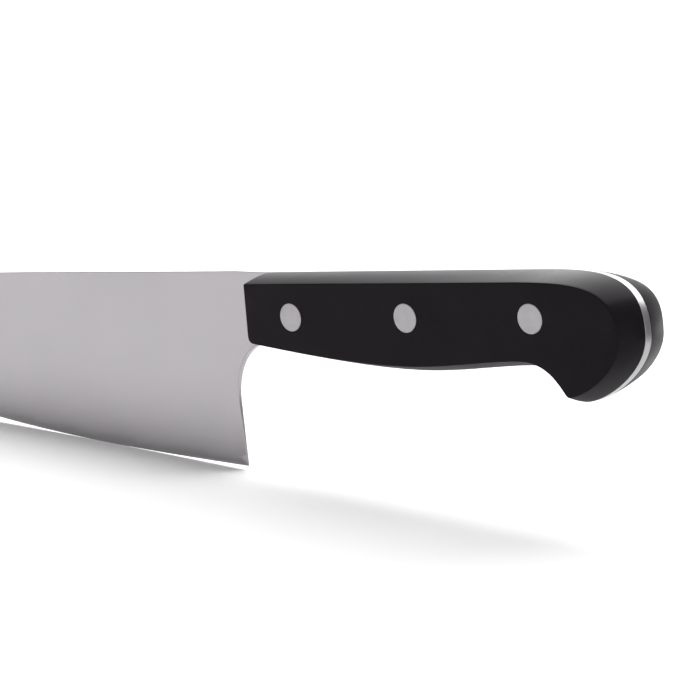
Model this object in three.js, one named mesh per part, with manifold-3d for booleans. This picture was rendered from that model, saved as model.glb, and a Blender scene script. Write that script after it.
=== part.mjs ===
// Full-tang chef's knife: a ground blade and its tang in one steel plate, a pair of handle
// scales, and three two-part cutler's rivets.
// Units are millimetres. X runs from the tip to the butt, Z from the edge to the spine, and
// Y across the knife. Outlines are drawn from the front rivet's centre, in the knife's middle
// plane. The finished group stands on its heel, with the origin under the middle of its length.
import * as THREE from 'three';
import { mergeVertices } from 'three/addons/utils/BufferGeometryUtils.js';
import Module from 'manifold-3d';

// Blade
const BLADE_LENGTH = 200; // heel to tip
const HEEL_X = -27.35;
const HEEL_Z = -39.5;
const SPINE_STEP = 0.35; // how far the spine stands above the handle's top line
const STEEL = 2.4; // thickness of the plate at the handle
const TIP_SPINE = 1.1; // thickness of the spine at the tip
const EDGE = 0.3; // thickness behind the cutting edge
const TIP_DEPTH = 0.6; // blunt height left at the very tip
const EDGE_SLOPE = 0.064; // rise of the edge for each mm forward of the heel
const BELLY_RISE = 22.5; // further rise of the edge at the tip
const BELLY_POWER = 2.8;
const CROWN = 2.6; // upward bow of the spine, measured at the tip
const SPINE_FALL = 16.4; // drop of the spine at the tip
const FALL_POWER = 6;
const FACE_BULGE = 0.85; // below 1, the ground faces are slightly convex

// Handle
const SCALE_FRONT_X = -15.5;
const FRONT_LEAN = 0.057; // the scales' front face leans forward, mm for each mm down
const TOP_Z = 10.55; // level of the handle's straight top
const TOP_END_X = 71.5; // where the top starts to curve down towards the butt
const BUTT_X = 100.8;
const BUTT_Z = -4.2; // level of the butt's rearmost point
const HANDLE_WIDTH = 18; // across both flats, level with the rivets
const FLAT_TAPER = 0.08; // each flat leans outwards, mm for each mm up
const BAND_DROP = 2; // width of the sloping band round each flat, in the knife's plane
const BAND_REACH = 8.55; // and across the handle
const UNDER_FRONT = [-30, -6.1]; // underside line, carried on in front of the scales
const UNDER_BELLY = [37, -13.3]; // deepest point of the grip
const UNDER_WAIST = [69.5, -11.55]; // where the underside turns down into the beak
const BEAK_FRONT = [81.13, -18.35];
const BEAK_FOOT = [83.46, -19.6];
const CHOIL_TOP = [-19, -7.7];
const CHOIL_FOOT = [-28.6, -24];

// Rivets
const RIVET_PITCH = 37.4;
const HEAD_RADIUS = 3.5;
const HEAD_DEPTH = 2.5;
const SHANK_RADIUS = 2.5;
const PIN_RADIUS = 1.5;
const BORE_RADIUS = 1.6;
const RIVET_NAMES = ['front', 'middle', 'rear'];

// Fits and facets
const GAP = 0.1; // clearance between neighbouring pieces
const END_PLAY = 1; // space left past the end of a pin
const BORE_WALL = 0.5; // steel left between a tube's bore and its head
const TANG_OVERLAP = 2; // how far the ground blade runs into the tang
const OVERCUT = 30; // how far a cutting block runs past the piece
const MERGE_DISTANCE = 1e-4;
const BLADE_COLUMNS = 64;
const BLADE_ROWS = 6;
const CURVE_STEPS = 12;
const ROUND_STEPS = 32;

const flat = HANDLE_WIDTH / 2;
const halfSteel = STEEL / 2;
const tipX = HEEL_X - BLADE_LENGTH;
const overallLength = BUTT_X - tipX;

const wasm = await Module();
wasm.setup();

const steel = new THREE.MeshStandardMaterial({ color: 0xbdbcbe, roughness: 0.38, metalness: 1 });
const scalePlastic = new THREE.MeshStandardMaterial({ color: 0x232124, roughness: 0.42, metalness: 0 });
const rivetSteel = new THREE.MeshStandardMaterial({ color: 0xa9a8ab, roughness: 0.45, metalness: 1 });

// A closed three.js geometry as a solid that can be joined and cut.
function solid(geometry) {
  const bare = geometry.clone();
  bare.deleteAttribute('normal');
  bare.deleteAttribute('uv');
  const merged = mergeVertices(bare, MERGE_DISTANCE);
  return new wasm.Manifold(new wasm.Mesh({
    numProp: 3,
    vertProperties: new Float32Array(merged.attributes.position.array),
    triVerts: new Uint32Array(merged.index.array),
  }));
}

function geometryOf(body) {
  const mesh = body.getMesh();
  const geometry = new THREE.BufferGeometry();
  geometry.setAttribute('position', new THREE.BufferAttribute(mesh.vertProperties, 3));
  geometry.setIndex(new THREE.BufferAttribute(mesh.triVerts, 1));
  geometry.computeVertexNormals();
  return geometry;
}

function named(name, geometry, material) {
  const mesh = new THREE.Mesh(geometry, material);
  mesh.name = name;
  return mesh;
}

// An outline in the knife's plane, given thickness from y = from to y = to.
function plate(shape, from, to) {
  const geometry = new THREE.ExtrudeGeometry(shape, {
    depth: to - from,
    curveSegments: CURVE_STEPS,
    bevelEnabled: false,
  });
  geometry.rotateX(Math.PI / 2);
  geometry.translate(0, to, 0);
  return geometry;
}

function rod(x, radius, from, to) {
  const geometry = new THREE.CylinderGeometry(radius, radius, to - from, ROUND_STEPS);
  geometry.translate(x, (from + to) / 2, 0);
  return solid(geometry);
}

const rivetX = (index) => index * RIVET_PITCH;

// The handle's outline from a start line to the butt and back, clockwise from the top.
function handleOutline(startX, startUnder) {
  const shape = new THREE.Shape();
  shape.moveTo(startX, TOP_Z);
  shape.lineTo(TOP_END_X, TOP_Z);
  shape.bezierCurveTo(87.7, TOP_Z, BUTT_X, 10.4, BUTT_X, BUTT_Z);
  shape.bezierCurveTo(BUTT_X, -12.8, 88.5, BEAK_FOOT[1], ...BEAK_FOOT);
  shape.bezierCurveTo(82.52, -19.6, 81.65, -19.13, ...BEAK_FRONT);
  shape.bezierCurveTo(78.73, -14.73, 76.2, -11.45, ...UNDER_WAIST);
  shape.bezierCurveTo(60, -11.62, 49, -13.3, ...UNDER_BELLY);
  shape.bezierCurveTo(24, -13.3, 8, -11.6, ...startUnder);
  shape.closePath();
  return shape;
}

// Height of the cutting edge and of the spine at a place along the blade.
function edgeZ(x) {
  const ahead = Math.max(0, HEEL_X - x);
  return HEEL_Z + EDGE_SLOPE * ahead + BELLY_RISE * (ahead / BLADE_LENGTH) ** BELLY_POWER;
}

function spineZ(x) {
  const ahead = Math.max(0, SCALE_FRONT_X - x) / (SCALE_FRONT_X - tipX);
  const step = SPINE_STEP * (1 - THREE.MathUtils.smoothstep(x, HEEL_X, SCALE_FRONT_X));
  return TOP_Z + step + CROWN * ahead ** 2 - SPINE_FALL * ahead ** FALL_POWER;
}

// Half the thickness: a taper from spine to edge and from handle to tip, which runs out to the
// full plate between the heel and the scales.
function halfThickness(x, fromEdge) {
  const alongBlade = THREE.MathUtils.clamp((HEEL_X - x) / BLADE_LENGTH, 0, 1);
  const spine = THREE.MathUtils.lerp(STEEL, TIP_SPINE, alongBlade);
  const ground = THREE.MathUtils.lerp(EDGE, spine, fromEdge ** FACE_BULGE) / 2;
  const runOut = THREE.MathUtils.smoothstep(x, HEEL_X, SCALE_FRONT_X);
  return THREE.MathUtils.lerp(ground, halfSteel, runOut);
}

function groundBlade() {
  const endX = SCALE_FRONT_X + TANG_OVERLAP;
  const geometry = new THREE.BoxGeometry(1, 1, 1, BLADE_COLUMNS, 1, BLADE_ROWS);
  const position = geometry.attributes.position;
  for (let i = 0; i < position.count; i += 1) {
    const fromEdge = position.getZ(i) + 0.5;
    const x = THREE.MathUtils.lerp(tipX, endX, position.getX(i) + 0.5);
    const low = edgeZ(x);
    const high = Math.max(spineZ(x), low + TIP_DEPTH);
    const z = THREE.MathUtils.lerp(low, high, fromEdge);
    position.setXYZ(i, x, 2 * position.getY(i) * halfThickness(x, fromEdge), z);
  }
  return solid(geometry);
}

// What is cut away behind the heel, up to the underside of the tang.
function choilCutter() {
  const shape = new THREE.Shape();
  shape.moveTo(HEEL_X, HEEL_Z - OVERCUT);
  shape.lineTo(HEEL_X, HEEL_Z);
  shape.lineTo(...CHOIL_FOOT);
  shape.bezierCurveTo(-29.4, -17, -26.7, -9.4, ...CHOIL_TOP);
  shape.lineTo(SCALE_FRONT_X + OVERCUT, CHOIL_TOP[1]);
  shape.lineTo(SCALE_FRONT_X + OVERCUT, HEEL_Z - OVERCUT);
  shape.closePath();
  return solid(plate(shape, -STEEL, STEEL));
}

function blade() {
  const outline = handleOutline(SCALE_FRONT_X, [SCALE_FRONT_X, CHOIL_TOP[1]]);
  const tang = solid(plate(outline, -halfSteel, halfSteel));
  let body = groundBlade().subtract(choilCutter()).add(tang);
  for (let i = 0; i < RIVET_NAMES.length; i += 1) {
    body = body.subtract(rod(rivetX(i), SHANK_RADIUS + GAP, -STEEL, STEEL));
  }
  return named('blade', geometryOf(body), steel);
}

// A closed outline moved in by a distance, point by point.
function movedIn(outline, distance) {
  return outline.map((point, i) => {
    const before = outline.at(i - 1);
    const after = outline[(i + 1) % outline.length];
    const [first, second] = [[before, point], [point, after]].map(([from, to]) => {
      const along = to.clone().sub(from).normalize();
      return new THREE.Vector2(along.y, -along.x);
    });
    const inwards = first.clone().add(second).divideScalar(1 + first.dot(second));
    return point.clone().addScaledVector(inwards, distance);
  });
}

// The form that both scales are shaped to: full size beside the tang and smaller at the flats. It
// runs on in front of the scales, where their front face cuts it off.
function handleForm() {
  const rim = handleOutline(UNDER_FRONT[0], UNDER_FRONT).getPoints(CURVE_STEPS);
  rim.pop();
  const inner = movedIn(rim, BAND_DROP);
  const outside = halfSteel + BAND_REACH;
  const layers = [[inner, -outside], [rim, -halfSteel], [rim, halfSteel], [inner, outside]];
  const position = layers.flatMap(([ring, y]) => ring.flatMap((point) => [point.x, y, point.y]));
  const count = rim.length;
  const index = [];
  for (let start = 0; start < 3 * count; start += count) {
    for (let i = 0; i < count; i += 1) {
      const [here, next] = [start + i, start + ((i + 1) % count)];
      index.push(here, next, here + count, next, next + count, here + count);
    }
  }
  for (const [a, b, c] of THREE.ShapeUtils.triangulateShape(inner, [])) {
    const last = 3 * count;
    index.push(a, b, c, c + last, b + last, a + last);
  }
  const geometry = new THREE.BufferGeometry();
  geometry.setAttribute('position', new THREE.Float32BufferAttribute(position, 3));
  geometry.setIndex(index);
  return solid(geometry);
}

// The block that one scale is cut from, with its leaning front face. side is -1 or 1.
function scaleBlock(side) {
  const top = TOP_Z + OVERCUT;
  const bottom = -OVERCUT;
  const shape = new THREE.Shape();
  shape.moveTo(SCALE_FRONT_X + FRONT_LEAN * top, top);
  shape.lineTo(BUTT_X + OVERCUT, top);
  shape.lineTo(BUTT_X + OVERCUT, bottom);
  shape.lineTo(SCALE_FRONT_X + FRONT_LEAN * bottom, bottom);
  shape.closePath();
  const inner = halfSteel + GAP;
  const ends = side < 0 ? [-OVERCUT, -inner] : [inner, OVERCUT];
  return solid(plate(shape, ...ends));
}

// Cuts a body off level with the flat on one side of the handle.
function trimToFlat(body, side) {
  const inwards = [0, -side, FLAT_TAPER];
  return body.trimByPlane(inwards, -flat / Math.hypot(...inwards));
}

// The stepped hole that takes one rivet's shank and its sunk head.
function rivetHole(x) {
  const shank = rod(x, SHANK_RADIUS + GAP, -OVERCUT, OVERCUT);
  const floor = flat - HEAD_DEPTH - GAP;
  const leftHead = rod(x, HEAD_RADIUS + GAP, -OVERCUT, -floor);
  const rightHead = rod(x, HEAD_RADIUS + GAP, floor, OVERCUT);
  return shank.add(leftHead).add(rightHead);
}

function scale(name, side) {
  let body = trimToFlat(handleForm().intersect(scaleBlock(side)), side);
  for (let i = 0; i < RIVET_NAMES.length; i += 1) {
    body = body.subtract(rivetHole(rivetX(i)));
  }
  return named(name, geometryOf(body), scalePlastic);
}

// Half of a rivet, turned about its axis, with its head ground level with the flat.
function rivetHalf(name, x, side, profile) {
  const points = profile.map(([radius, y]) => new THREE.Vector2(radius, y));
  const geometry = new THREE.LatheGeometry(points, ROUND_STEPS);
  geometry.translate(x, 0, 0);
  return named(name, geometryOf(trimToFlat(solid(geometry), side)), rivetSteel);
}

const headFloor = flat - HEAD_DEPTH;
const headTop = flat + HEAD_DEPTH; // before it is ground off

// The half with a solid pin, headed on the left side.
function pinHalf(name, x) {
  return rivetHalf(name, x, -1, [
    [0, -headTop],
    [HEAD_RADIUS, -headTop],
    [HEAD_RADIUS, -headFloor],
    [PIN_RADIUS, -headFloor],
    [PIN_RADIUS, headFloor - END_PLAY],
    [0, headFloor - END_PLAY],
  ]);
}

// The half with a tube that the pin goes into, headed on the right side.
function tubeHalf(name, x) {
  const boreEnd = headFloor - BORE_WALL;
  const mouth = -headFloor + 2 * GAP;
  return rivetHalf(name, x, 1, [
    [0, boreEnd],
    [BORE_RADIUS, boreEnd],
    [BORE_RADIUS, mouth],
    [SHANK_RADIUS, mouth],
    [SHANK_RADIUS, headFloor],
    [HEAD_RADIUS, headFloor],
    [HEAD_RADIUS, headTop],
    [0, headTop],
  ]);
}

const knife = new THREE.Group();
knife.add(blade(), scale('left_scale', -1), scale('right_scale', 1));
RIVET_NAMES.forEach((place, i) => {
  knife.add(pinHalf(`${place}_rivet_pin`, rivetX(i)));
  knife.add(tubeHalf(`${place}_rivet_tube`, rivetX(i)));
});
knife.position.set(overallLength / 2 - BUTT_X, 0, -HEEL_Z);

export default knife;
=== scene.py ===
"""Looks for the chef's knife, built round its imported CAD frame.

Points are worked out in millimetres from the front rivet's centre, in the knife's middle plane,
and turned into metres in the row frame when a mesh is made. x runs towards the butt, y across the
knife and z towards the spine.
"""

import math

import bmesh
import bpy
import numpy as np
from mathutils import Matrix, Vector
from mathutils.geometry import delaunay_2d_cdt


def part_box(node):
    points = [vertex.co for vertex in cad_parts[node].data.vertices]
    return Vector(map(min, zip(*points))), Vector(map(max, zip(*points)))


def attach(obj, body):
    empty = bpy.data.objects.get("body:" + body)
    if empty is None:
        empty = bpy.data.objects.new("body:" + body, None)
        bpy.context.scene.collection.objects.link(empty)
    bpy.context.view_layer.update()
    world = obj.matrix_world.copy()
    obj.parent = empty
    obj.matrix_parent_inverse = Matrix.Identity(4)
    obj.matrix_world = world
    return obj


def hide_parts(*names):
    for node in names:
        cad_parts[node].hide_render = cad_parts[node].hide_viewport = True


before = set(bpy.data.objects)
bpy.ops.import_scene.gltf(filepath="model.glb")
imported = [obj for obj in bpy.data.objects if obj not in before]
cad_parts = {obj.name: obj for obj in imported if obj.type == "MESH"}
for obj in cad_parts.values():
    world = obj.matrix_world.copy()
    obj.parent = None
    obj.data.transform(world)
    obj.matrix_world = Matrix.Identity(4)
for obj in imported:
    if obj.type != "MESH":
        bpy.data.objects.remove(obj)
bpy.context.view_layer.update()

MM = 0.001
RIVETS = ("front", "middle", "rear")

# How finely outlines and circles are cut: the spacing in mm along a curve, and points in a ring
OUTLINE_STEP = 0.35
HOLE_POINTS = 72
TURNED_POINTS = 96
RING_POINTS = 760
FRONT_POINTS = 36


def node_box(name):
    """A CAD node's lowest and highest corner, in metres, as numpy arrays."""
    low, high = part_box(name)
    return np.array(low), np.array(high)


pin_low, pin_high = node_box("front_rivet_pin")
ORIGIN = np.array([(pin_low[0] + pin_high[0]) / 2, 0, (pin_low[2] + pin_high[2]) / 2])


def from_rivet(point):
    """A row-frame point in metres as millimetres from the front rivet's centre."""
    return (np.array(point) - ORIGIN) / MM


# Sizes that the CAD frame sets
TIP_X, _, HEEL_Z = from_rivet(node_box("blade")[0])
BUTT_X, HALF_STEEL, _ = from_rivet(node_box("blade")[1])
RIVET_X = [from_rivet(np.mean(node_box(f"{name}_rivet_pin"), axis=0))[0] for name in RIVETS]
HEAD_RADIUS = (pin_high[0] - pin_low[0]) / 2 / MM

# Blade shape. FACE_BULGE is a power: below 1, the ground faces are convex. The very edge is
# EDGE_HALF thick on each side, and the bevel widens from there
BLADE_LENGTH = 200.0
HEEL_X = TIP_X + BLADE_LENGTH
TIP_SPINE = 1.1
EDGE_THICKNESS = 0.3
TIP_DEPTH = 0.6
EDGE_SLOPE = 0.064
BELLY_RISE = 22.5
BELLY_POWER = 2.8
CROWN = 2.6
SPINE_FALL = 16.4
FALL_POWER = 6
FACE_BULGE = 0.8
BEVEL_DEPTH = 0.7
BEVEL_GAIN = 1.15
EDGE_HALF = 0.01
EDGE_EASE = 0.03
SPINE_STEP = 0.35
CHOIL_TOP = (-19.0, -7.7)
CHOIL_FOOT = (-28.6, -24.0)

# Handle shape. BAND_SLOPE and BAND_CURVE set the band's profile, and these shares its width round
# the outline. BAND_PLACES go from the top's rear end, round the butt, to the underside. BUTT_BAND
# has the shares at the first four, by side, and its first also holds along the whole top. FOOT takes
# its last again, UNDER_BAND has the three after that, and its last holds on to the front
TOP_Z = 10.55
TOP_END = (71.5, TOP_Z)
WAIST = (69.5, -11.55)
FOOT = (83.46, -19.6)
SCALE_FRONT_X = -15.5
FRONT_LEAN = 0.057
FLAT_Y = 9.0
FLAT_TAPER = 0.08
BAND_SLOPE = 0.17
BAND_CURVE = 0.01175
BUTT_BAND = {-1: (1.0, 1.12, 1.12, 1.12), 1: (0.82, 0.86, 1.05, 0.82)}
UNDER_BAND = (0.95, 0.95, 0.85)
BAND_PLACES = (TOP_END, (90, 8), (BUTT_X, -4), (95, -14), FOOT, WAIST, (30, -13.1), (0, -11))
EASE = 0.15
CRISP_RADIUS = 0.3
FRONT_CORNER = 1.8
HOLE_PLAY = 0.03
SHANK_RADIUS = 2.5
PIN_RADIUS = 1.5
BORE_RADIUS = 1.6
HEAD_DEPTH = 2.5
HEAD_EASE = 0.12
MOUTH_EASE = 0.05
PIN_END_GAP = 1
TUBE_END_GAP = 0.2
BORE_END = 0.5

# The blade outline's cuts. The tang's outline takes over from the spine's at TANG_X, under the
# scales, and ends CHOIL_GAP behind the choil's top
EDGE_CUTS = 260
TIP_RUN = 20
TIP_CUTS = 60
SPINE_CUTS = 300
TANG_X = -14
CHOIL_GAP = 0.4

# Spacing of the points inside a face, and how far they keep from its rims
STEEL_GRID = (2.2, 1.3)
FLAT_GRID = (3.0, 1.2)

MERGE_DISTANCE = 1e-7
SHARP_ANGLE = 40
GRAIN_SCALE = 10


def bezier(start, first, second, end):
    """Points along a cubic curve, about OUTLINE_STEP apart, without its last point."""
    start, first, second, end = (np.array(p, float) for p in (start, first, second, end))
    span = np.linalg.norm(first - start) + np.linalg.norm(second - first)
    span += np.linalg.norm(end - second)
    t = np.linspace(0, 1, max(2, int(span / OUTLINE_STEP)), endpoint=False)[:, None]
    u = 1 - t
    return u**3 * start + 3 * u**2 * t * first + 3 * u * t**2 * second + t**3 * end


def line(start, end):
    start, end = np.array(start, float), np.array(end, float)
    count = max(2, int(np.linalg.norm(end - start) / OUTLINE_STEP))
    return start + (end - start) * np.linspace(0, 1, count, endpoint=False)[:, None]


def handle_curve():
    """The handle's outline from the top in front of the scales, round the butt, to the underside."""
    start, rear = (-30, TOP_Z), (BUTT_X, -4.2)
    nose, belly, end = (81.13, -18.35), (37, -13.3), (-30, -6.1)
    return np.vstack([
        line(start, TOP_END),
        bezier(TOP_END, (87.7, TOP_Z), (BUTT_X, 10.4), rear),
        bezier(rear, (BUTT_X, -12.8), (88.5, -19.6), FOOT),
        bezier(FOOT, (82.52, -19.6), (81.65, -19.13), nose),
        bezier(nose, (78.73, -14.73), (76.2, -11.45), WAIST),
        bezier(WAIST, (60, -11.62), (49, -13.3), belly),
        bezier(belly, (24, -13.3), (8, -11.6), end),
        [end],
    ])


def smoothstep(x, low, high):
    t = np.clip((x - low) / (high - low), 0, 1)
    return t * t * (3 - 2 * t)


def flat_y(z):
    """How far the scales' flats are from the middle plane: the handle is thicker at the top."""
    return FLAT_Y + FLAT_TAPER * np.asarray(z)


def edge_z(x):
    ahead = np.maximum(0, HEEL_X - x)
    return HEEL_Z + EDGE_SLOPE * ahead + BELLY_RISE * (ahead / BLADE_LENGTH) ** BELLY_POWER


def spine_z(x):
    ahead = np.maximum(0, SCALE_FRONT_X - x) / (SCALE_FRONT_X - TIP_X)
    step = SPINE_STEP * (1 - smoothstep(x, HEEL_X, SCALE_FRONT_X))
    top = TOP_Z + step + CROWN * ahead**2 - SPINE_FALL * ahead**FALL_POWER
    return np.maximum(top, edge_z(x) + TIP_DEPTH)


def half_thickness(x, z):
    """Half the steel's thickness: tapered faces, an edge bevel, and the full plate at the tang."""
    low, high = edge_z(x), spine_z(x)
    from_edge = np.clip((z - low) / (high - low), 0, 1)
    spine = 2 * HALF_STEEL + (TIP_SPINE - 2 * HALF_STEEL) * np.clip((HEEL_X - x) / BLADE_LENGTH, 0, 1)
    ground = (EDGE_THICKNESS + (spine - EDGE_THICKNESS) * from_edge**FACE_BULGE) / 2
    bevel = EDGE_THICKNESS / 2 * np.clip((z - low) / BEVEL_DEPTH, 0, None) * BEVEL_GAIN
    ground = np.minimum(ground, EDGE_HALF + bevel)
    run_out = smoothstep(x, HEEL_X, SCALE_FRONT_X)
    return ground + (HALF_STEEL - ground) * run_out


def normals(points, closed):
    """Unit normals to the left of a run of points."""
    if closed:
        along = np.roll(points, -1, 0) - np.roll(points, 1, 0)
    else:
        along = np.gradient(points, axis=0)
    along /= np.linalg.norm(along, axis=1)[:, None]
    return np.stack([-along[:, 1], along[:, 0]], 1)


def inside(points, polygon):
    """Which points lie inside a closed polygon."""
    x, y = points[:, 0][:, None], points[:, 1][:, None]
    ax, ay = polygon[:, 0], polygon[:, 1]
    bx, by = np.roll(ax, -1), np.roll(ay, -1)
    crosses = (ay > y) != (by > y)
    with np.errstate(divide="ignore", invalid="ignore"):
        at = ax + (y - ay) * (bx - ax) / (by - ay)
    return (crosses & (x < at)).sum(1) % 2 == 1


def circle(centre, radius, count=HOLE_POINTS):
    angle = np.linspace(0, 2 * math.pi, count, endpoint=False)
    return np.array(centre) + radius * np.stack([np.cos(angle), np.sin(angle)], 1)


def fill(loops, extra):
    """Triangles between an outer loop and its holes, through the extra inner points. They count
    the loops' points first, in order, and then the extra ones."""
    loops = [np.asarray(loop) for loop in loops]
    points = np.vstack([*loops, extra])
    edges, start = [], 0
    for loop in loops:
        count = len(loop)
        edges += [(start + i, start + (i + 1) % count) for i in range(count)]
        start += count
    made = delaunay_2d_cdt([Vector(p) for p in points], edges, [], 0, MERGE_DISTANCE)
    placed = np.array([tuple(p) for p in made[0]])
    triangles = np.array(made[2])
    first = {}
    for new, olds in enumerate(made[3]):
        for old in olds:
            first[old] = new
    order = np.array([first[i] for i in range(len(points))])
    back = {new: old for old, new in reversed(list(enumerate(order)))}
    centres = placed[triangles].mean(1)
    keep = inside(centres, loops[0])
    for hole in loops[1:]:
        keep &= ~inside(centres, hole)
    return [[back[i] for i in triangle] for triangle in triangles[keep]]


def grid_inside(polygon, step, margin, holes):
    """A staggered grid of points inside a polygon, margin clear of its outline and of its holes."""
    low, high = polygon.min(0), polygon.max(0)
    xs = np.arange(low[0], high[0], step)
    zs = np.arange(low[1], high[1], step)
    grid = np.array([(x + (j % 2) * step / 2, z) for j, z in enumerate(zs) for x in xs])
    grid = grid[inside(grid, polygon)]
    rims = np.vstack([polygon, *holes])
    gap = np.array([np.min(np.hypot(*(rims - p).T)) for p in grid])
    grid = grid[gap > margin]
    for hole in holes:
        grid = grid[~inside(grid, hole)]
    return grid


class Body:
    """A mesh being gathered: points in millimetres from the front rivet, and faces."""

    def __init__(self):
        self.points = []
        self.faces = []

    def add(self, flat, y):
        """Adds (x, z) points at height y across the knife, and returns the first one's index."""
        start = len(self.points)
        heights = np.broadcast_to(y, len(flat))
        self.points += [(p[0], h, p[1]) for p, h in zip(flat, heights)]
        return start

    def ring(self, start, other, count):
        """Joins two rings of the same length with quads, by their first indices."""
        for i in range(count):
            j = (i + 1) % count
            self.faces.append((start + i, start + j, other + j, other + i))

    def cap(self, starts, loops, extra, y):
        """Fills between loops that are already added, with new inner points at height y."""
        index = [s + i for s, loop in zip(starts, loops) for i in range(len(loop))]
        inner = self.add(extra, y)
        index += [inner + i for i in range(len(extra))]
        self.faces += [[index[i] for i in triangle] for triangle in fill(loops, extra)]

    def finish(self, name):
        """Makes the object, with its faces outwards, smooth, and a flat x-z map for its grain."""
        mesh = bpy.data.meshes.new(name)
        places = np.array(self.points) * MM + ORIGIN
        mesh.from_pydata(places.tolist(), [], [tuple(f) for f in self.faces])
        work = bmesh.new()
        work.from_mesh(mesh)
        bmesh.ops.remove_doubles(work, verts=work.verts, dist=MERGE_DISTANCE)
        bmesh.ops.recalc_face_normals(work, faces=work.faces)
        work.to_mesh(mesh)
        work.free()
        mesh.shade_smooth()
        mesh.set_sharp_from_angle(angle=math.radians(SHARP_ANGLE))
        layer = mesh.uv_layers.new(name="grain")
        for loop in mesh.loops:
            place = mesh.vertices[loop.vertex_index].co
            layer.data[loop.index].uv = (place.x * GRAIN_SCALE, place.z * GRAIN_SCALE)
        piece = bpy.data.objects.new(name, mesh)
        bpy.context.scene.collection.objects.link(piece)
        return piece


def steel_outline():
    """The blade and tang's whole outline, clockwise from the tip, and which points are the edge."""
    xs = np.linspace(HEEL_X, TIP_X, EDGE_CUTS)
    edge = np.stack([xs, edge_z(xs)], 1)
    tip_end = TIP_X + TIP_RUN
    spine_x = np.concatenate([np.linspace(TIP_X, tip_end, TIP_CUTS, endpoint=False),
                              np.linspace(tip_end, TANG_X, SPINE_CUTS, endpoint=False)])
    spine = np.stack([spine_x, spine_z(spine_x)], 1)
    handle = handle_curve()
    tang = handle[np.arange(len(handle)) > np.argmax(handle[:, 0] > TANG_X)]
    tang = tang[(tang[:, 1] > 0) | (tang[:, 0] > CHOIL_TOP[0] + CHOIL_GAP)]
    choil = bezier(CHOIL_TOP, (-26.7, -9.4), (-29.4, -17), CHOIL_FOOT)
    heel = line(CHOIL_FOOT, (HEEL_X, HEEL_Z))
    outline = np.vstack([spine, tang, choil, heel, edge])
    is_edge = np.arange(len(outline)) >= len(outline) - len(edge)
    return outline, is_edge


def make_steel():
    outline, is_edge = steel_outline()
    ease = np.where(is_edge, EDGE_EASE, EASE)
    inner = outline - normals(outline, True) * ease[:, None]
    holes = [circle((x, 0), SHANK_RADIUS + HOLE_PLAY) for x in RIVET_X]
    xs = np.arange(TIP_X + 4, HEEL_X - 0.5, 1.0)
    bevel_line = np.stack([xs, edge_z(xs) + BEVEL_DEPTH], 1)
    half_bevel = np.stack([xs, edge_z(xs) + BEVEL_DEPTH / 2], 1)
    grid = grid_inside(inner, *STEEL_GRID, holes)
    extra = np.vstack([bevel_line, half_bevel, grid])
    body = Body()
    rim = {}
    for side in (-1, 1):
        half = half_thickness(inner[:, 0], inner[:, 1])
        outer_half = np.where(is_edge, EDGE_HALF, np.maximum(half - EASE, half * 0.5))
        outer = body.add(outline, side * outer_half)
        eased = body.add(inner, side * half)
        body.ring(outer, eased, len(outline))
        hole_rings = [body.add(hole, side * HALF_STEEL) for hole in holes]
        heights = side * half_thickness(extra[:, 0], extra[:, 1])
        body.cap([eased, *hole_rings], [inner, *holes], extra, heights)
        rim[side] = (outer, hole_rings)
    body.ring(rim[-1][0], rim[1][0], len(outline))
    for near, far, hole in zip(rim[-1][1], rim[1][1], holes):
        body.ring(near, far, len(hole))
    return body.finish("steel_blade")


def band_profile():
    """Steps out from the tang to the flat: (y, inset), an almost straight band and a crisp turn."""
    reach = FLAT_Y - HALF_STEEL
    end_angle = math.atan(BAND_SLOPE + 2 * BAND_CURVE * reach)
    turn = CRISP_RADIUS * math.tan((math.pi / 2 - end_angle) / 2)
    last = reach - turn * math.cos(end_angle)
    out = np.append(np.linspace(0, last, 14, endpoint=False), last)
    steps = [(HALF_STEEL + u, BAND_SLOPE * u + BAND_CURVE * u**2) for u in out]
    centre_inset = steps[-1][1] + CRISP_RADIUS * math.cos(end_angle)
    for angle in np.linspace(end_angle, math.pi / 2, 6)[1:]:
        y = FLAT_Y - CRISP_RADIUS + CRISP_RADIUS * math.sin(angle)
        steps.append((y, centre_inset - CRISP_RADIUS * math.cos(angle)))
    return steps


def rounded(ring, corner, reach):
    """Rounds one corner of a closed ring, over reach on each side of it."""
    ring = np.roll(ring, -corner, 0)
    steps = np.linalg.norm(np.roll(ring, -1, 0) - ring, axis=1)
    after = np.concatenate([[0], np.cumsum(steps)[:-1]])
    total = steps.sum()
    signed = np.where(after > total / 2, after - total, after)
    near = np.abs(signed) < reach
    order = np.argsort(signed)
    ends = [np.array([np.interp(e, signed[order], ring[order, k]) for k in (0, 1)])
            for e in (-reach, reach)]
    w = ((signed[near] + reach) / (2 * reach))[:, None]
    tip = ring[0].copy()
    ring[near] = (1 - w) ** 2 * ends[0] + 2 * w * (1 - w) * tip + w**2 * ends[1]
    return np.roll(ring, corner, 0)


def scale_ring(curve, inward, share, inset, set_back):
    """One closed outline of a scale, inset from the handle's, cut off by its leaning front."""
    points = curve + inward * (share * inset)[:, None]
    front = SCALE_FRONT_X + set_back + FRONT_LEAN * points[:, 1]
    ahead = points[:, 0] - front
    kept = np.flatnonzero(ahead > 0)
    first, last = kept[0], kept[-1]

    def crossing(outer, inner):
        t = ahead[outer] / (ahead[outer] - ahead[inner])
        return points[outer] + t * (points[inner] - points[outer])

    run = np.vstack([crossing(first - 1, first), points[first:last + 1], crossing(last + 1, last)])
    lengths = np.concatenate([[0], np.cumsum(np.linalg.norm(np.diff(run, axis=0), axis=1))])
    at = np.linspace(0, lengths[-1], RING_POINTS)
    along = np.stack([np.interp(at, lengths, run[:, k]) for k in (0, 1)], 1)
    shares = np.linspace(0, 1, FRONT_POINTS + 2)[1:-1, None]
    front_face = along[-1] + (along[0] - along[-1]) * shares
    ring = np.vstack([along, front_face])
    ring = rounded(ring, 0, EASE * 2)
    return rounded(ring, RING_POINTS - 1, FRONT_CORNER)


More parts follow.
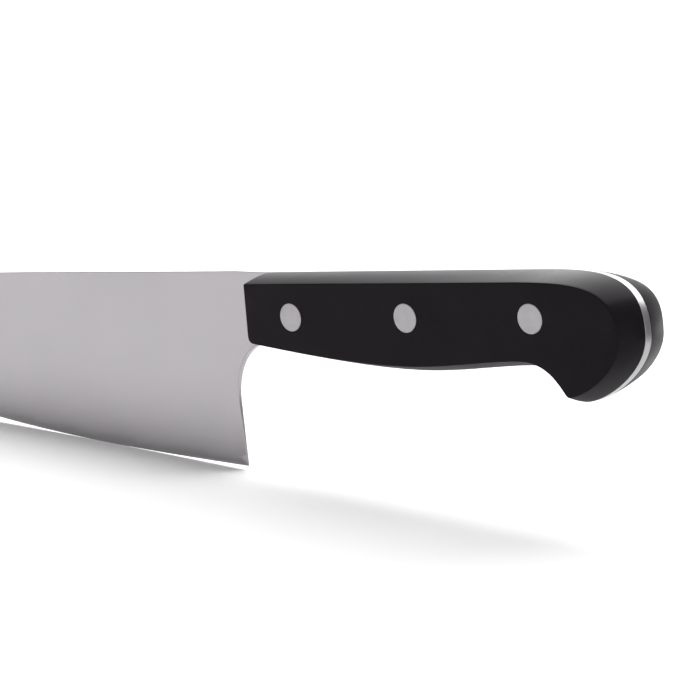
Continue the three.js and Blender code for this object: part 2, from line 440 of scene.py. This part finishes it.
def band_share(curve, butt):
    """How wide the band is at each point of the outline, as a share of its profile's width."""
    index = np.arange(len(curve))

    def nearest(x, z):
        return np.argmin(np.hypot(curve[:, 0] - x, curve[:, 1] - z))

    places = [nearest(*place) for place in BAND_PLACES]
    return np.interp(index, places, (*butt, butt[-1], *UNDER_BAND))


def make_scale(name, side):
    curve = handle_curve()
    inward = -normals(curve, False)
    reach = FLAT_Y - HALF_STEEL
    share = band_share(curve, BUTT_BAND[side]) * (flat_y(curve[:, 1]) - HALF_STEEL) / reach
    body = Body()
    starts, rings = [], []
    for y, inset in band_profile():
        near_flat = max(0.0, y - (FLAT_Y - CRISP_RADIUS))
        set_back = CRISP_RADIUS - math.sqrt(max(0.0, CRISP_RADIUS**2 - near_flat**2))
        ring = scale_ring(curve, inward, share, inset, set_back)
        out = (y - HALF_STEEL) / reach
        rings.append(ring)
        starts.append(body.add(ring, side * (HALF_STEEL + out * (flat_y(ring[:, 1]) - HALF_STEEL))))
    for start, other in zip(starts, starts[1:]):
        body.ring(start, other, len(rings[0]))
    shank = [circle((x, 0), SHANK_RADIUS + HOLE_PLAY) for x in RIVET_X]
    mouth = [circle((x, 0), HEAD_RADIUS + HOLE_PLAY + MOUTH_EASE) for x in RIVET_X]
    head = [circle((x, 0), HEAD_RADIUS + HOLE_PLAY) for x in RIVET_X]
    floor = FLAT_Y - HEAD_DEPTH - HOLE_PLAY
    inner_holes = [body.add(hole, side * HALF_STEEL) for hole in shank]
    floor_inner = [body.add(hole, side * floor) for hole in shank]
    floor_outer = [body.add(hole, side * floor) for hole in head]
    wall_top = [body.add(hole, side * (flat_y(hole[:, 1]) - MOUTH_EASE)) for hole in head]
    lips = [body.add(hole, side * flat_y(hole[:, 1])) for hole in mouth]
    for chain in zip(inner_holes, floor_inner, floor_outer, wall_top, lips):
        for start, other in zip(chain, chain[1:]):
            body.ring(start, other, len(head[0]))
    body.cap([starts[0], *inner_holes], [rings[0], *shank], np.empty((0, 2)), 0)
    extra = grid_inside(rings[-1], *FLAT_GRID, mouth)
    body.cap([starts[-1], *lips], [rings[-1], *mouth], extra, side * flat_y(extra[:, 1]))
    return body.finish(name)


def make_turned(name, profile, x, side):
    """A rivet half turned about its axis, from (radius, y) steps that start and end on it."""
    body = Body()
    count = TURNED_POINTS
    starts = []
    for radius, y in profile[1:-1]:
        ring = circle((x, 0), radius, count)
        tilt = FLAT_TAPER * ring[:, 1] if y > FLAT_Y - HEAD_DEPTH else 0
        starts.append(body.add(ring, side * (y + tilt)))
    for start, other in zip(starts, starts[1:]):
        body.ring(start, other, count)
    for (_, y), start in ((profile[0], starts[0]), (profile[-1], starts[-1])):
        centre = body.add([(x, 0)], side * y)
        body.faces += [(start + i, start + (i + 1) % count, centre) for i in range(count)]
    return body.finish(name)


def head_steps():
    """A rivet head's face, eased rim and side, from the middle of its face."""
    y, rim = FLAT_Y, HEAD_RADIUS
    return [
        (0, y), (1.2, y), (2.4, y), (rim - HEAD_EASE, y), (rim - 0.05, y - 0.015),
        (rim - 0.01, y - 0.06), (rim, y - HEAD_EASE), (rim, y - HEAD_DEPTH),
    ]


def make_rivets():
    pins, tubes = [], []
    neck = FLAT_Y - HEAD_DEPTH
    pin_end, tube_end, bore_end = -neck + PIN_END_GAP, -neck + TUBE_END_GAP, neck - BORE_END
    for name, x in zip(RIVETS, RIVET_X):
        pin = head_steps() + [(PIN_RADIUS, neck), (PIN_RADIUS, pin_end), (0, pin_end)]
        pins.append(make_turned(f"{name}_rivet_head_left", pin, x, -1))
        tube = head_steps() + [(SHANK_RADIUS, neck), (SHANK_RADIUS, tube_end)]
        tube += [(BORE_RADIUS, tube_end), (BORE_RADIUS, bore_end), (0, bore_end)]
        tubes.append(make_turned(f"{name}_rivet_head_right", tube, x, 1))
    return pins, tubes


# Where a colour mix node keeps its two colours and its result
MIX_A, MIX_B, MIX_RESULT = 6, 7, 2


class Nodes:
    """A material's node tree, with short ways to add and join nodes."""

    def __init__(self, name):
        self.material = bpy.data.materials.new(name)
        self.material.use_nodes = True
        self.tree = self.material.node_tree
        self.shader = self.tree.nodes["Principled BSDF"]

    def add(self, kind, inputs=(), **settings):
        node = self.tree.nodes.new(kind)
        for key, value in settings.items():
            setattr(node, key, value)
        for key, value in dict(inputs).items():
            self.put(node.inputs[key], value)
        return node

    def put(self, socket, value):
        if isinstance(value, bpy.types.NodeSocket):
            self.tree.links.new(value, socket)
        else:
            socket.default_value = value

    def set(self, **values):
        for key, value in values.items():
            self.put(self.shader.inputs[key.replace("_", " ")], value)

    def noise(self, stretch, detail=2.0):
        """Noise in the piece's own space. stretch is how many cells there are in a metre each way."""
        where = self.add("ShaderNodeTexCoord")
        mapping = self.add("ShaderNodeMapping", {"Vector": where.outputs["Object"], "Scale": stretch})
        settings = {"Vector": mapping.outputs[0], "Scale": 1.0, "Detail": detail, "Roughness": 0.5}
        return self.add("ShaderNodeTexNoise", settings).outputs["Fac"]

    def spread(self, value, low, high, start=0.3, stop=0.7):
        """Maps values from start to stop onto low to high. Noise mostly stays within 0.3 to 0.7."""
        settings = {"Value": value, "From Min": start, "From Max": stop, "To Min": low, "To Max": high}
        return self.add("ShaderNodeMapRange", settings).outputs["Result"]

    def mix(self, value, first, second):
        inputs = {"Factor": value, MIX_A: first, MIX_B: second}
        return self.add("ShaderNodeMix", inputs, data_type="RGBA").outputs[MIX_RESULT]

    def tint(self, value, dark, light):
        """A colour that drifts between two with a noise."""
        return self.mix(self.spread(value, 0, 1), (*dark, 1), (*light, 1))

    def bump(self, height, distance, strength):
        inputs = {"Height": height, "Distance": distance, "Strength": strength}
        return self.add("ShaderNodeBump", inputs).outputs["Normal"]

    def sum(self, first, second, weight):
        """The first value plus weight times the second."""
        scaled = self.add("ShaderNodeMath", {0: second, 1: weight}, operation="MULTIPLY")
        return self.add("ShaderNodeMath", {0: first, 1: scaled.outputs[0]}, operation="ADD").outputs[0]


def blade_material():
    """Satin steel with fine grind lines from spine to edge. The plate's sides are darker."""
    m = Nodes("blade_satin_steel")
    lines = m.noise((2600, 900, 28), detail=3)
    broad = m.noise((160, 160, 6), detail=2)
    cloud = m.noise((26, 26, 26), detail=3)
    mixed = m.sum(lines, broad, 0.5)
    m.set(Metallic=1.0, Anisotropic=0.45)
    normal = m.add("ShaderNodeNewGeometry").outputs["True Normal"]
    across = m.add("ShaderNodeSeparateXYZ", {"Vector": normal}).outputs["Y"]
    face = m.add("ShaderNodeMath", {0: across}, operation="ABSOLUTE").outputs[0]
    faces = m.tint(cloud, (0.405, 0.389, 0.405), (0.43, 0.413, 0.431))
    sides = m.tint(cloud, (0.35, 0.336, 0.35), (0.38, 0.365, 0.381))
    m.set(Base_Color=m.mix(m.spread(face, 0, 1, 0.3, 0.8), sides, faces))
    m.set(Roughness=m.spread(mixed, 0.285, 0.315, 0.5, 1.0))
    tangent = m.add("ShaderNodeTangent", direction_type="UV_MAP", uv_map="grain")
    m.set(Tangent=tangent.outputs[0])
    m.set(Normal=m.bump(lines, 0.000004, 0.2))
    return m.material


def rivet_material():
    """Steel ground flush with the scales, along the handle."""
    m = Nodes("rivet_ground_steel")
    lines = m.noise((45, 900, 3800), detail=3)
    cloud = m.noise((420, 420, 420), detail=3)
    m.set(Metallic=1.0)
    m.set(Base_Color=m.tint(cloud, (0.355, 0.341, 0.356), (0.385, 0.37, 0.386)))
    m.set(Roughness=m.spread(lines, 0.34, 0.42))
    m.set(Normal=m.bump(lines, 0.000004, 0.4))
    return m.material


def scale_material():
    """Black moulded plastic with a fine satin surface and faint sanding along the grip. It is
    rougher where it faces down."""
    m = Nodes("scale_black_plastic")
    sanding = m.noise((60, 1800, 1800), detail=3)
    grain = m.noise((2600, 2600, 2600), detail=2)
    cloud = m.noise((70, 70, 70), detail=3)
    height = m.sum(sanding, grain, 0.6)
    m.set(Base_Color=m.tint(cloud, (0.0052, 0.0034, 0.0053), (0.0072, 0.0052, 0.0074)))
    normal = m.add("ShaderNodeNewGeometry").outputs["Normal"]
    down = m.add("ShaderNodeSeparateXYZ", {"Vector": normal}).outputs["Z"]
    m.set(Roughness=m.sum(m.spread(cloud, 0.27, 0.33), m.spread(down, 1, 0, -0.95, -0.6), 0.25))
    m.set(IOR=1.17)
    m.set(Normal=m.bump(height, 0.000005, 0.3))
    return m.material


def place(piece, node, slot, material):
    piece.data.materials.append(material)
    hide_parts(node)
    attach(piece, "root")


def make_knife():
    steel, plastic, rivet = blade_material(), scale_material(), rivet_material()
    place(make_steel(), "blade", "blade_steel", steel)
    place(make_scale("left_handle_scale", -1), "left_scale", "scale_plastic", plastic)
    place(make_scale("right_handle_scale", 1), "right_scale", "scale_plastic", plastic)
    pins, tubes = make_rivets()
    for name, pin, tube in zip(RIVETS, pins, tubes):
        place(pin, f"{name}_rivet_pin", "rivet_steel", rivet)
        place(tube, f"{name}_rivet_tube", "rivet_steel", rivet)


# Brightness of the room by height (0 is level, 1 straight up), in front of and behind the knife
WORLD_PEAK = 3.0
WORLD_FRONT = ((0.0, 1.02), (0.06, 1.02), (0.16, 0.62), (1.0, 0.54))
WORLD_BEHIND = ((0.0, 1.02), (0.1, 1.02), (0.3, 0.57), (1.0, 0.54))
WORLD_BLEND = 0.3

# The surface that the knife stands on touches the belly of the edge
FLOOR_SLOPE = 0.094
FLOOR_SIZE = 12.0
CONTACT_CUTS = 4000

# The floor's glow hides its far part. It starts and is full at these distances, in metres
FLOOR_GLOW = (0.35, 0.9)


def floor_contact():
    """Where the edge's slope matches the floor's, in metres in the row frame."""
    xs = np.linspace(TIP_X, HEEL_X, CONTACT_CUTS)
    lowest = np.argmin(edge_z(xs) + FLOOR_SLOPE * xs)
    x = xs[lowest]
    return np.array([x, 0, edge_z(x)]) * MM + ORIGIN


def matte(name, dark, light):
    """A matte grey that drifts a little between two levels."""
    m = Nodes(name)
    m.set(Base_Color=m.tint(m.noise((9, 9, 9)), (dark,) * 3, (light,) * 3))
    m.set(Roughness=0.9, Specular_IOR_Level=0.0)
    return m


def make_sheet(name, corners, m):
    """A rectangle, from its corners in metres."""
    mesh = bpy.data.meshes.new(name)
    mesh.from_pydata([tuple(p) for p in corners], [], [(0, 1, 2, 3)])
    mesh.materials.append(m.material)
    sheet = bpy.data.objects.new(name, mesh)
    bpy.context.scene.collection.objects.link(sheet)
    return sheet


def make_floor():
    contact = Vector(floor_contact())
    half = FLOOR_SIZE / 2
    flat = [(-half, -half), (half, -half), (half, half), (-half, half)]
    corners = [contact + Vector((x, y, -FLOOR_SLOPE * x)) for x, y in flat]
    m = matte("floor_white", 0.85, 0.87)
    where = m.add("ShaderNodeNewGeometry").outputs["Position"]
    away = m.add("ShaderNodeVectorMath", {0: where, 1: contact}, operation="DISTANCE")
    m.set(Emission_Color=(1, 1, 1, 1))
    m.set(Emission_Strength=m.spread(away.outputs["Value"], 0.0, 1.0, *FLOOR_GLOW))
    make_sheet("floor", corners, m)


# A grey card past the butt, out of sight of the camera, that the butt's dark side mirrors. It runs
# between two (x, y) points, in metres, reaches below the sloped floor, and casts no shadow
CARD_FOOT = ((0.235, 0.30), (0.43, 0.13))
CARD_HEIGHT = 0.16
CARD_SINK = 0.06


def make_card():
    low, high = -CARD_SINK, CARD_HEIGHT
    (ax, ay), (bx, by) = CARD_FOOT
    corners = [(ax, ay, low), (bx, by, low), (bx, by, high), (ax, ay, high)]
    card = make_sheet("card", corners, matte("card_grey", 0.22, 0.24))
    card.visible_shadow = False


def add_ramp(nodes, links, value, stops):
    """A colour ramp through (position, brightness) stops, as shares of the world's peak."""
    ramp = nodes.new("ShaderNodeValToRGB")
    links.new(value, ramp.inputs["Fac"])
    elements = ramp.color_ramp.elements
    while len(elements) < len(stops):
        elements.new(0.5)
    for element, (at, level) in zip(elements, stops):
        share = level / WORLD_PEAK
        element.position = at
        element.color = (share, share, share, 1)
    return ramp.outputs["Color"]


def make_world():
    """A white room, bright low down all round and dimmer overhead. Behind the knife the bright
    part reaches higher. The two sides blend over WORLD_BLEND each way."""
    world = bpy.data.worlds.new("studio")
    bpy.context.scene.world = world
    world.use_nodes = True
    nodes, links = world.node_tree.nodes, world.node_tree.links
    where = nodes.new("ShaderNodeTexCoord")
    split = nodes.new("ShaderNodeSeparateXYZ")
    links.new(where.outputs["Generated"], split.inputs[0])
    behind = nodes.new("ShaderNodeMapRange")
    links.new(split.outputs["Y"], behind.inputs["Value"])
    behind.inputs["From Min"].default_value = -WORLD_BLEND
    behind.inputs["From Max"].default_value = WORLD_BLEND
    mix = nodes.new("ShaderNodeMix")
    mix.data_type = "RGBA"
    links.new(behind.outputs["Result"], mix.inputs["Factor"])
    links.new(add_ramp(nodes, links, split.outputs["Z"], WORLD_FRONT), mix.inputs[MIX_A])
    links.new(add_ramp(nodes, links, split.outputs["Z"], WORLD_BEHIND), mix.inputs[MIX_B])
    background = nodes["Background"]
    links.new(mix.outputs[MIX_RESULT], background.inputs["Color"])
    background.inputs["Strength"].default_value = WORLD_PEAK


# The lights aim this far above the front rivet, in metres
AIM_HEIGHT = -0.02


def make_light(name, elevation, azimuth, distance, size, power):
    """A soft box aimed just below the front rivet. Azimuth 0 is in front, 180 behind."""
    target = Vector(ORIGIN) + Vector((0.0, 0, AIM_HEIGHT))
    e, a = math.radians(elevation), math.radians(azimuth)
    away = Vector((math.sin(a) * math.cos(e), -math.cos(a) * math.cos(e), math.sin(e)))
    lamp = bpy.data.lights.new(name, "AREA")
    lamp.shape = "RECTANGLE"
    lamp.size, lamp.size_y = size
    lamp.energy = power
    light = bpy.data.objects.new(name, lamp)
    light.location = target + away * distance
    light.rotation_euler = (-away).to_track_quat("-Z", "Y").to_euler()
    bpy.context.scene.collection.objects.link(light)


# Camera, from the front rivet: above and to the right of the handle, tipped to one side
CAMERA_FROM_RIVET = (415.47, -434.17, 47.36)
CAMERA_AZIMUTH = 42.984
CAMERA_ELEVATION = 5.417
CAMERA_ROLL = 3.968
LENS = 124.97
SENSOR_WIDTH = 36


def make_camera():
    a, e, roll = (math.radians(v) for v in (CAMERA_AZIMUTH, CAMERA_ELEVATION, CAMERA_ROLL))
    right = Vector((math.cos(a), math.sin(a), 0))
    back = Vector((math.sin(a) * math.cos(e), -math.cos(a) * math.cos(e), math.sin(e)))
    up = back.cross(right)
    tipped_right = math.cos(roll) * right - math.sin(roll) * up
    tipped_up = math.sin(roll) * right + math.cos(roll) * up
    turn = Matrix((tipped_right, tipped_up, back)).transposed().to_4x4()
    data = bpy.data.cameras.new("camera")
    data.lens = LENS
    data.sensor_width = SENSOR_WIDTH
    data.clip_start, data.clip_end = 0.01, 50
    camera = bpy.data.objects.new("camera", data)
    camera.matrix_world = Matrix.Translation(Vector(np.array(CAMERA_FROM_RIVET) * MM + ORIGIN)) @ turn
    bpy.context.scene.collection.objects.link(camera)
    bpy.context.scene.camera = camera


bpy.context.scene.view_settings.view_transform = "Standard"
make_camera()
make_knife()
make_floor()
make_card()
make_world()
make_light("softbox_behind", 57, 182, 0.9, (1.3, 1.05), 15.5)
make_light("low_softbox_left", 16, 226, 1.0, (0.55, 0.24), 0.75)
